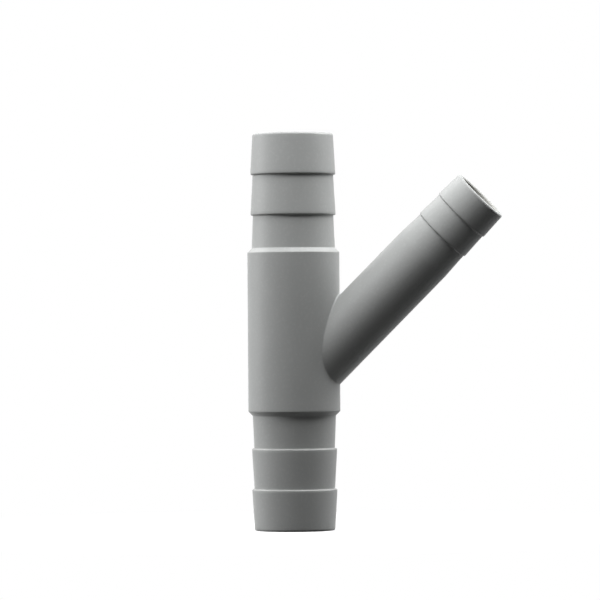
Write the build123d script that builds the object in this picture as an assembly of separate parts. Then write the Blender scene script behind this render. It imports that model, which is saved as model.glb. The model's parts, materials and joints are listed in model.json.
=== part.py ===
from build123d import *
import os
from math import cos, radians, sin

# Y connector for flexible tubing, moulded in one piece. A straight run has a barbed spigot
# at each end and a plain collar round its middle. A smaller branch leaves the collar at an
# angle, in the XZ plane towards +X, and ends in a barbed spigot of its own. The bores of the
# run and the branch meet inside. The run stands on its lower end face, with the centre of
# that face at the origin. Sizes are in millimetres and degrees, and "across" is a diameter.

# Run
run_length = 100.0
run_bore_across = 16.4
run_root_across = 20.3  # at the end face and at the foot of each barb
run_crest_across = 21.4
run_neck_across = 21.0  # where the taper behind the last barb meets the collar's shoulder
run_tip_length = 10.45  # from the end face to the ledge behind the first crest
run_pitch = 10.2  # ledge to ledge
run_land = 0.6  # straight stretch on each crest, which the hose grips
run_bevel = 0.2  # edge between a crest and its ledge
run_rim_radius = 0.6  # outer edge of each end face

# Collar
collar_length = 42.2
collar_across = 23.2

# Branch
branch_angle = 45.0  # between the branch and the upper half of the run
branch_height = 36.2  # where the two axes cross
branch_length = 67.5  # from that crossing to the branch's end face
branch_bore_across = 11.8
branch_tube_across = 15.75
branch_root_across = 15.05
branch_crest_across = 15.6
branch_tip_length = 7.1
branch_pitch = 6.8
branch_land = 0.5
branch_bevel = 0.15
branch_rim_radius = 0.5

# Details that the run and the branch share
barbs_per_spigot = 2
mouth_chamfer = 0.3  # inner edge of each end face
junction_radius = 0.3  # where the branch leaves the collar

# Worked out from the sizes above
collar_start = (run_length - collar_length) / 2
branch_direction = (sin(radians(branch_angle)), 0, cos(radians(branch_angle)))
branch_frame = Plane(origin=(0, 0, branch_height), x_dir=(0, 1, 0), z_dir=branch_direction)


def turned(outline):
    # the solid inside an outline of (radius, height, corner rounding) points, turned round Z
    start, end = (0, outline[0][1]), (0, outline[-1][1])
    corners = [(radius, height) for radius, height, rounding in outline]
    face = make_face(Polyline(start, *corners, end, close=True))
    for radius, height, rounding in outline:
        if rounding:
            face = fillet(face.vertices().sort_by_distance((radius, height))[0], rounding)
    return revolve(Plane.XZ * face, Axis.Z)


def spigot_outline(root, crest, tip_length, pitch, land, bevel, rim_radius):
    # from the tip inwards, with heights as distances from the end face
    outline = [(root, 0, rim_radius)]
    for barb in range(barbs_per_spigot):
        ledge = tip_length + barb * pitch
        edge = ledge - bevel
        outline += [(crest, edge - land, 0), (crest, edge, 0)]
        outline += [(crest - bevel, ledge, 0), (root, ledge, 0)]
    return outline


def flipped(outline, length):
    # the same outline seen from the other end of a piece of the given length
    return [(radius, length - height, rounding) for radius, height, rounding in reversed(outline)]


def run_body():
    root, crest, neck = run_root_across / 2, run_crest_across / 2, run_neck_across / 2
    spigot = spigot_outline(
        root, crest, run_tip_length, run_pitch, run_land, run_bevel, run_rim_radius
    )
    # the shoulder of the collar slopes as much as it rises
    collar = collar_across / 2
    shoulder = collar_start + collar - neck
    lower_half = [*spigot, (neck, collar_start, 0), (collar, shoulder, 0)]
    return turned(lower_half + flipped(lower_half, run_length))


def branch_body():
    root, crest, tube = branch_root_across / 2, branch_crest_across / 2, branch_tube_across / 2
    spigot = spigot_outline(
        root, crest, branch_tip_length, branch_pitch, branch_land, branch_bevel, branch_rim_radius
    )
    # behind the last barb a cone swells to the plain tube, as long as a barb
    swell_end = spigot[-1][1] + branch_pitch
    outline = [*spigot, (tube, swell_end, 0), (tube, branch_length, 0)]
    return branch_frame * turned(flipped(outline, branch_length))


def bore(across, length, opens_at_start):
    # the hollow of a bore along Z, with a chamfer at each end face that it opens
    radius = across / 2
    flare = radius + mouth_chamfer
    start = [(flare, 0, 0), (radius, mouth_chamfer, 0)] if opens_at_start else [(radius, 0, 0)]
    return turned([*start, (radius, length - mouth_chamfer, 0), (flare, length, 0)])


run = run_body()
branch = branch_body()
joined = run + branch
seam = new_edges(run, branch, combined=joined)
body = fillet(seam, junction_radius)
body -= bore(run_bore_across, run_length, True)
body -= branch_frame * bore(branch_bore_across, branch_length, False)

os.makedirs("parts", exist_ok=True)
export_step(body, "parts/connector_body.step")
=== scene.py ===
import json
from math import cos, radians, sin

import bmesh
import bpy
from mathutils import Matrix, Vector

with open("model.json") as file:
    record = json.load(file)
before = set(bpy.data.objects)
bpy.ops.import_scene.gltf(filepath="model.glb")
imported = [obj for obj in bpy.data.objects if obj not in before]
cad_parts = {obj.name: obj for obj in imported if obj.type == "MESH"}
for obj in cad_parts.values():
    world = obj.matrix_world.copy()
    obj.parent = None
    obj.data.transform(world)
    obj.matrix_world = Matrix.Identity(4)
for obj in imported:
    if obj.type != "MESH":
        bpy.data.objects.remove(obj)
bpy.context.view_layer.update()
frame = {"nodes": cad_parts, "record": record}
connector = frame["nodes"]["connector_body"]
mounts = {mount["name"]: mount for mount in frame["record"]["mounts"]}
print("connector loaded:", len(connector.data.polygons), "facets")


# small helpers for node trees

def addNode(tree, kind, place, **settings):
    node = tree.nodes.new(kind)
    node.location = place
    for name, value in settings.items():
        setattr(node, name, value)
    return node


def setInputs(node, values):
    for name, value in values.items():
        node.inputs[name].default_value = value
    return node


def mathNode(tree, operation, place, first, second=None, third=None):
    node = addNode(tree, "ShaderNodeMath", place, operation=operation)
    for slot, value in zip(node.inputs, (first, second, third)):
        if isinstance(value, bpy.types.NodeSocket):
            tree.links.new(value, slot)
        elif value is not None:
            slot.default_value = value
    return node.outputs["Value"]


def mixColours(tree, place, blend, amount, first, second):
    node = addNode(tree, "ShaderNodeMix", place, data_type="RGBA", blend_type=blend)
    slots = (node.inputs[0], node.inputs[6], node.inputs[7])
    for slot, value in zip(slots, (amount, first, second)):
        if isinstance(value, bpy.types.NodeSocket):
            tree.links.new(value, slot)
        else:
            slot.default_value = value
    return node.outputs[2]


def newGroup(name, inputs, outputs):
    group = bpy.data.node_groups.new(name, "ShaderNodeTree")
    for label, kind in inputs:
        group.interface.new_socket(label, in_out="INPUT", socket_type=kind)
    for label, kind in outputs:
        group.interface.new_socket(label, in_out="OUTPUT", socket_type=kind)
    start = addNode(group, "NodeGroupInput", (-900, 0))
    end = addNode(group, "NodeGroupOutput", (700, 0))
    return group, start.outputs, end.inputs


# moulded grey plastic

plasticLook = {
    "colour": (0.42, 0.43, 0.425, 1.0),
    "fleckColour": (0.56, 0.57, 0.56, 1.0),
    "fleckAmount": 0.16,
    "fleckScale": 0.35,  # the flecks' frequency as a share of the grain's
    "fleckRange": (0.52, 0.72),  # the noise values between which a fleck fades in
    "fleckNoise": {"Detail": 1.0, "Roughness": 0.4},
    "cloudSize": 0.009,  # metres, as are the other sizes
    "cloudAmount": 0.06,
    "cloudNoise": {"Detail": 2.0, "Roughness": 0.5},
    "grainSize": 0.00022,
    "grainHeight": 0.000008,
    "grainNoise": {"Detail": 2.0, "Roughness": 0.55},
    "edgeHighlightColour": (0.56, 0.56, 0.53, 1.0),  # painted highlight along the edges
    "edgeWidth": 0.0004,  # the radius that the edges are shaded with
    "edgeHighlightAmount": 0.45,
    "edgeRange": (0.96, 0.84),  # from these cosines between rounded and true normal
    "edgeSamples": 8,
    "boreLightColour": (0.50, 0.50, 0.475, 1.0),  # painted light: the bores are a little paler than the outside
    "boreBlend": (0.0001, 0.0005),  # how far beyond its wall the painted light of the bore fades out
    "partingWidth": 0.00016,  # half the width of the mould's hairline
    "partingHeight": 0.00002,
    "partingAmount": 0.25,
    "roughness": 0.46,
    "roughnessSpread": 0.10,
    "specular": 0.25,
}
noiseMiddle = 0.5  # the middle of a noise texture's range


def makeMouldGrain(look):
    # the fine even texture that a blasted mould leaves on plastic
    group, given, out = newGroup(
        "mouldGrain",
        [("Position", "NodeSocketVector"), ("Grain Size", "NodeSocketFloat"),
         ("Cloud Size", "NodeSocketFloat")],
        [("Grain", "NodeSocketFloat"), ("Fleck", "NodeSocketFloat"),
         ("Cloud", "NodeSocketFloat")],
    )

    def noise(place, scale, settings):
        texture = setInputs(addNode(group, "ShaderNodeTexNoise", place), settings)
        group.links.new(given["Position"], texture.inputs["Vector"])
        group.links.new(scale, texture.inputs["Scale"])
        return texture.outputs["Fac"]

    grainScale = mathNode(group, "DIVIDE", (-700, 200), 1.0, given["Grain Size"])
    fleckScale = mathNode(group, "MULTIPLY", (-700, 0), grainScale, look["fleckScale"])
    cloudScale = mathNode(group, "DIVIDE", (-700, -250), 1.0, given["Cloud Size"])
    group.links.new(noise((-450, 200), grainScale, look["grainNoise"]), out["Grain"])
    fleckStart, fleckEnd = look["fleckRange"]
    fleckMask = setInputs(addNode(group, "ShaderNodeMapRange", (-200, 0)),
                          {"From Min": fleckStart, "From Max": fleckEnd})
    group.links.new(noise((-450, 0), fleckScale, look["fleckNoise"]), fleckMask.inputs["Value"])
    group.links.new(fleckMask.outputs["Result"], out["Fleck"])
    group.links.new(noise((-450, -250), cloudScale, look["cloudNoise"]), out["Cloud"])
    return group


def makeBoreMask():
    # 1 inside a round bore and on its wall, falling to 0 just beyond it
    group, given, out = newGroup(
        "boreMask",
        [("Position", "NodeSocketVector"), ("Mouth", "NodeSocketVector"),
         ("Axis", "NodeSocketVector"), ("Radius", "NodeSocketFloat"),
         ("Reach", "NodeSocketFloat"), ("Blend Start", "NodeSocketFloat"),
         ("Blend End", "NodeSocketFloat")],
        [("Mask", "NodeSocketFloat")],
    )
    fromMouth = addNode(group, "ShaderNodeVectorMath", (-700, 0), operation="SUBTRACT")
    group.links.new(given["Position"], fromMouth.inputs[0])
    group.links.new(given["Mouth"], fromMouth.inputs[1])
    along = addNode(group, "ShaderNodeVectorMath", (-500, 200), operation="DOT_PRODUCT")
    across = addNode(group, "ShaderNodeVectorMath", (-500, 0), operation="CROSS_PRODUCT")
    for node in (along, across):
        group.links.new(fromMouth.outputs["Vector"], node.inputs[0])
        group.links.new(given["Axis"], node.inputs[1])
    offAxis = addNode(group, "ShaderNodeVectorMath", (-300, 0), operation="LENGTH")
    group.links.new(across.outputs["Vector"], offAxis.inputs[0])
    blend = addNode(group, "ShaderNodeMapRange", (100, 0), interpolation_type="SMOOTHSTEP")
    setInputs(blend, {"To Min": 1.0, "To Max": 0.0})
    offWall = mathNode(group, "SUBTRACT", (-100, 0), offAxis.outputs["Value"], given["Radius"])
    group.links.new(offWall, blend.inputs["Value"])
    group.links.new(given["Blend Start"], blend.inputs["From Min"])
    group.links.new(given["Blend End"], blend.inputs["From Max"])
    depth = mathNode(group, "ABSOLUTE", (-300, 200), along.outputs["Value"])
    reached = mathNode(group, "LESS_THAN", (-100, 200), depth, given["Reach"])
    mask = mathNode(group, "MULTIPLY", (400, 0), blend.outputs["Result"], reached)
    group.links.new(mask, out["Mask"])
    return group


def addBoreMask(tree, boreGroup, place, position, mount, look):
    node = addNode(tree, "ShaderNodeGroup", place, node_tree=boreGroup)
    start, end = look["boreBlend"]
    # the reach goes past the bore's length by its width, so a slanting end is covered too
    radius, length = (mount["dims"][key] / 1000 for key in ("r_mm", "length_mm"))
    setInputs(node, {"Mouth": mount["pos_m"], "Axis": mount["axis"], "Radius": radius,
                     "Reach": length + 2 * radius, "Blend Start": start, "Blend End": end})
    tree.links.new(position, node.inputs["Position"])
    return node.outputs["Mask"]


def makeEdgeMask(tree, place, look):
    # the normal of a slightly rounded edge, and a mask that is 1 where it leaves the true one
    x, y = place
    rounded = addNode(tree, "ShaderNodeBevel", place, samples=look["edgeSamples"])
    setInputs(rounded, {"Radius": look["edgeWidth"]})
    flat = addNode(tree, "ShaderNodeNewGeometry", (x, y - 200))
    same = addNode(tree, "ShaderNodeVectorMath", (x + 200, y), operation="DOT_PRODUCT")
    tree.links.new(rounded.outputs["Normal"], same.inputs[0])
    tree.links.new(flat.outputs["Normal"], same.inputs[1])
    mask = addNode(tree, "ShaderNodeMapRange", (x + 400, y), interpolation_type="SMOOTHSTEP")
    start, end = look["edgeRange"]
    setInputs(mask, {"From Min": start, "From Max": end})
    tree.links.new(same.outputs["Value"], mask.inputs["Value"])
    return rounded.outputs["Normal"], mask.outputs["Result"]


def makePartingMask(tree, place, position, width):
    # a hairline in the plane through both axes
    x, y = place
    parts = addNode(tree, "ShaderNodeSeparateXYZ", place)
    tree.links.new(position, parts.inputs[0])
    line = addNode(tree, "ShaderNodeMapRange", (x + 400, y), interpolation_type="SMOOTHSTEP")
    setInputs(line, {"From Max": width, "To Min": 1.0, "To Max": 0.0})
    away = mathNode(tree, "ABSOLUTE", (x + 200, y), parts.outputs["Y"])
    tree.links.new(away, line.inputs["Value"])
    return line.outputs["Result"]


def makePlastic(grainGroup, boreGroup, look):
    material = bpy.data.materials.new("greyPlastic")
    material.use_nodes = True
    tree = material.node_tree
    shader = tree.nodes["Principled BSDF"]
    position = addNode(tree, "ShaderNodeTexCoord", (-2300, 0)).outputs["Object"]
    grain = addNode(tree, "ShaderNodeGroup", (-1900, 0), node_tree=grainGroup)
    setInputs(grain, {"Grain Size": look["grainSize"], "Cloud Size": look["cloudSize"]})
    tree.links.new(position, grain.inputs["Position"])

    inBore = mathNode(
        tree, "MAXIMUM", (-1500, -500),
        addBoreMask(tree, boreGroup, (-1900, -400), position, mounts["run_bore"], look),
        addBoreMask(tree, boreGroup, (-1900, -700), position, mounts["branch_bore"], look),
    )
    outside = mathNode(tree, "SUBTRACT", (-1300, -700), 1.0, inBore)
    parting = mathNode(tree, "MULTIPLY", (-1100, -900), outside,
                       makePartingMask(tree, (-1900, -1000), position, look["partingWidth"]))
    rounded, edge = makeEdgeMask(tree, (-1900, 500), look)

    # colour: flecks, then a painted highlight along the edges, the parting line and painted
    # light in the bores, then broad soft clouds
    fleck = mathNode(tree, "MULTIPLY", (-1500, 100), grain.outputs["Fleck"], look["fleckAmount"])
    colour = mixColours(tree, (-1300, 100), "MIX", fleck, look["colour"], look["fleckColour"])
    # painted highlight: paler wherever the rounded normal leaves the true one
    paintedEdgeHighlight = mathNode(tree, "MULTIPLY", (-1300, 500), edge, look["edgeHighlightAmount"])
    paleLine = mathNode(tree, "MULTIPLY", (-1100, -300), parting, look["partingAmount"])
    pale = mathNode(tree, "MAXIMUM", (-1100, 500), paintedEdgeHighlight, paleLine)
    colour = mixColours(tree, (-900, 100), "MIX", pale, colour, look["edgeHighlightColour"])
    # painted light inside the bores
    colour = mixColours(tree, (-700, 100), "MIX", inBore, colour, look["boreLightColour"])
    cloudShift = mathNode(tree, "SUBTRACT", (-1100, 300), grain.outputs["Cloud"], noiseMiddle)
    cloudTone = mathNode(tree, "MULTIPLY_ADD", (-900, 300), cloudShift,
                         2.0 * look["cloudAmount"], 1.0)
    toned = addNode(tree, "ShaderNodeVectorMath", (-400, 100), operation="SCALE")
    tree.links.new(colour, toned.inputs[0])
    tree.links.new(cloudTone, toned.inputs["Scale"])
    tree.links.new(toned.outputs["Vector"], shader.inputs["Base Color"])

    roughShift = mathNode(tree, "SUBTRACT", (-900, -150), grain.outputs["Grain"], noiseMiddle)
    roughness = mathNode(tree, "MULTIPLY_ADD", (-700, -150), roughShift,
                         look["roughnessSpread"], look["roughness"])
    tree.links.new(roughness, shader.inputs["Roughness"])

    grainRise = mathNode(tree, "MULTIPLY", (-900, -400), grain.outputs["Grain"],
                         look["grainHeight"])
    rise = mathNode(tree, "MULTIPLY_ADD", (-700, -400), parting, look["partingHeight"],
                    grainRise)
    bump = setInputs(addNode(tree, "ShaderNodeBump", (-400, -350)),
                     {"Strength": 1.0, "Distance": 1.0})
    tree.links.new(rise, bump.inputs["Height"])
    tree.links.new(rounded, bump.inputs["Normal"])
    tree.links.new(bump.outputs["Normal"], shader.inputs["Normal"])
    shader.inputs["Specular IOR Level"].default_value = look["specular"]
    return material


greyPlastic = makePlastic(makeMouldGrain(plasticLook), makeBoreMask(), plasticLook)
for slot in connector.material_slots:
    slot.material = greyPlastic
print("plastic made")


# floor and surroundings

stageLook = {
    "floorColour": (0.62, 0.62, 0.62, 1.0),
    "floorRoughness": 0.9,
    "floorGlow": 0.5,  # keeps the floor and its shadow pale
    "floorBounce": (0.015, 0.015, 0.015, 1.0),  # what the floor throws back onto the object
    "floorHalfWidth": 3.0,
    "shadowReach": (0.03, 0.12),  # the floor fades to plain white between these distances
    "surroundings": 0.0,  # how brightly the world lights the object
}


def seenDirectly(tree, place):
    # 1 where the camera, a reflection or a view through glass meets the surface
    path = addNode(tree, "ShaderNodeLightPath", place)
    x, y = place
    either = mathNode(tree, "MAXIMUM", (x + 200, y), path.outputs["Is Camera Ray"],
                      path.outputs["Is Glossy Ray"])
    return mathNode(tree, "MAXIMUM", (x + 400, y), either, path.outputs["Is Transmission Ray"])


def makeFloor(look):
    mesh = bpy.data.meshes.new("floor")
    shape = bmesh.new()
    bmesh.ops.create_grid(shape, x_segments=1, y_segments=1, size=look["floorHalfWidth"])
    shape.to_mesh(mesh)
    shape.free()
    floor = bpy.data.objects.new("floor", mesh)
    bpy.context.scene.collection.objects.link(floor)
    material = bpy.data.materials.new("paleFloor")
    material.use_nodes = True
    tree = material.node_tree
    shader = tree.nodes["Principled BSDF"]
    setInputs(shader, {"Base Color": look["floorColour"], "Roughness": look["floorRoughness"],
                       "Specular IOR Level": 0.0, "Emission Color": (1.0, 1.0, 1.0, 1.0),
                       "Emission Strength": look["floorGlow"]})
    place = addNode(tree, "ShaderNodeTexCoord", (-900, -200)).outputs["Object"]
    distance = addNode(tree, "ShaderNodeVectorMath", (-700, -200), operation="LENGTH")
    tree.links.new(place, distance.inputs[0])
    fade = addNode(tree, "ShaderNodeMapRange", (-500, -200), interpolation_type="SMOOTHSTEP")
    start, end = look["shadowReach"]
    setInputs(fade, {"From Min": start, "From Max": end})
    tree.links.new(distance.outputs["Value"], fade.inputs["Value"])
    white = setInputs(addNode(tree, "ShaderNodeEmission", (0, -200)), {"Strength": 1.0})
    dark = setInputs(addNode(tree, "ShaderNodeBsdfDiffuse", (0, -400)),
                     {"Color": look["floorBounce"]})
    pale = addNode(tree, "ShaderNodeMixShader", (250, 0))
    tree.links.new(fade.outputs["Result"], pale.inputs[0])
    tree.links.new(shader.outputs["BSDF"], pale.inputs[1])
    tree.links.new(white.outputs["Emission"], pale.inputs[2])
    mix = addNode(tree, "ShaderNodeMixShader", (450, 0))
    tree.links.new(seenDirectly(tree, (-900, 300)), mix.inputs[0])
    tree.links.new(dark.outputs["BSDF"], mix.inputs[1])
    tree.links.new(pale.outputs["Shader"], mix.inputs[2])
    tree.links.new(mix.outputs["Shader"], tree.nodes["Material Output"].inputs["Surface"])
    mesh.materials.append(material)


def makeSurroundings(look):
    world = bpy.data.worlds.new("surroundings")
    bpy.context.scene.world = world
    world.use_nodes = True
    tree = world.node_tree
    background = tree.nodes["Background"]
    background.inputs["Color"].default_value = (1.0, 1.0, 1.0, 1.0)
    dim = setInputs(addNode(tree, "ShaderNodeMapRange", (-300, 0)),
                    {"To Min": look["surroundings"], "To Max": 1.0})
    tree.links.new(seenDirectly(tree, (-900, 0)), dim.inputs["Value"])
    tree.links.new(dim.outputs["Result"], background.inputs["Strength"])


makeFloor(stageLook)
makeSurroundings(stageLook)
print("floor and surroundings made")


# studio lights

lampLook = {
    # name: azimuth, elevation, distance, width, height, watts
    "overhead": (30.0, 70.0, 0.26, 0.16, 0.16, 0.66),
    "left": (-90.0, 15.0, 0.70, 0.40, 0.40, 2.6),
    "leftFront": (-60.0, 40.0, 0.70, 0.40, 0.40, 1.85),
    "leftBehind": (-120.0, 40.0, 0.70, 0.40, 0.40, 1.95),
    "rightBehind": (120.0, 40.0, 0.70, 0.40, 0.40, 4.0),
}
lampAimHeight = 0.05


def makeLamp(name, azimuth, elevation, distance, width, height, watts):
    data = bpy.data.lights.new(name, "AREA")
    data.shape = "RECTANGLE"
    data.size, data.size_y = width, height
    data.energy = watts
    lamp = bpy.data.objects.new(name, data)
    bpy.context.scene.collection.objects.link(lamp)
    a, e = radians(azimuth), radians(elevation)
    away = Vector((sin(a) * cos(e), -cos(a) * cos(e), sin(e)))
    lamp.location = Vector((0, 0, lampAimHeight)) + distance * away
    lamp.rotation_euler = away.to_track_quat("Z", "Y").to_euler()
    lamp.visible_camera = False


for name, settings in lampLook.items():
    makeLamp(name, *settings)
print("lamps made:", len(lampLook))


# camera

cameraLook = {
    "azimuth": 10.0,
    "roll": 0.38,
    "distance": 1.0836,
    "height": 0.0517,
    "aimAcross": 0.0016,
    "aimHeight": 0.0580,
    "lens": 258.0,
    "sensor": 36.0,
    "clip": (0.01, 20.0),
}


def makeCamera(look):
    data = bpy.data.cameras.new("camera")
    data.lens, data.sensor_width = look["lens"], look["sensor"]
    data.clip_start, data.clip_end = look["clip"]
    camera = bpy.data.objects.new("camera", data)
    bpy.context.scene.collection.objects.link(camera)
    a = radians(look["azimuth"])
    across, back = Vector((cos(a), sin(a), 0)), Vector((sin(a), -cos(a), 0))
    place = look["distance"] * back + Vector((0, 0, look["height"]))
    aim = look["aimAcross"] * across + Vector((0, 0, look["aimHeight"]))
    turn = (place - aim).to_track_quat("Z", "Y").to_matrix().to_4x4()
    camera.matrix_world = (
        Matrix.Translation(place) @ turn @ Matrix.Rotation(radians(-look["roll"]), 4, "Z")
    )
    bpy.context.scene.camera = camera


makeCamera(cameraLook)
bpy.context.scene.view_settings.view_transform = "Standard"
print("camera set")
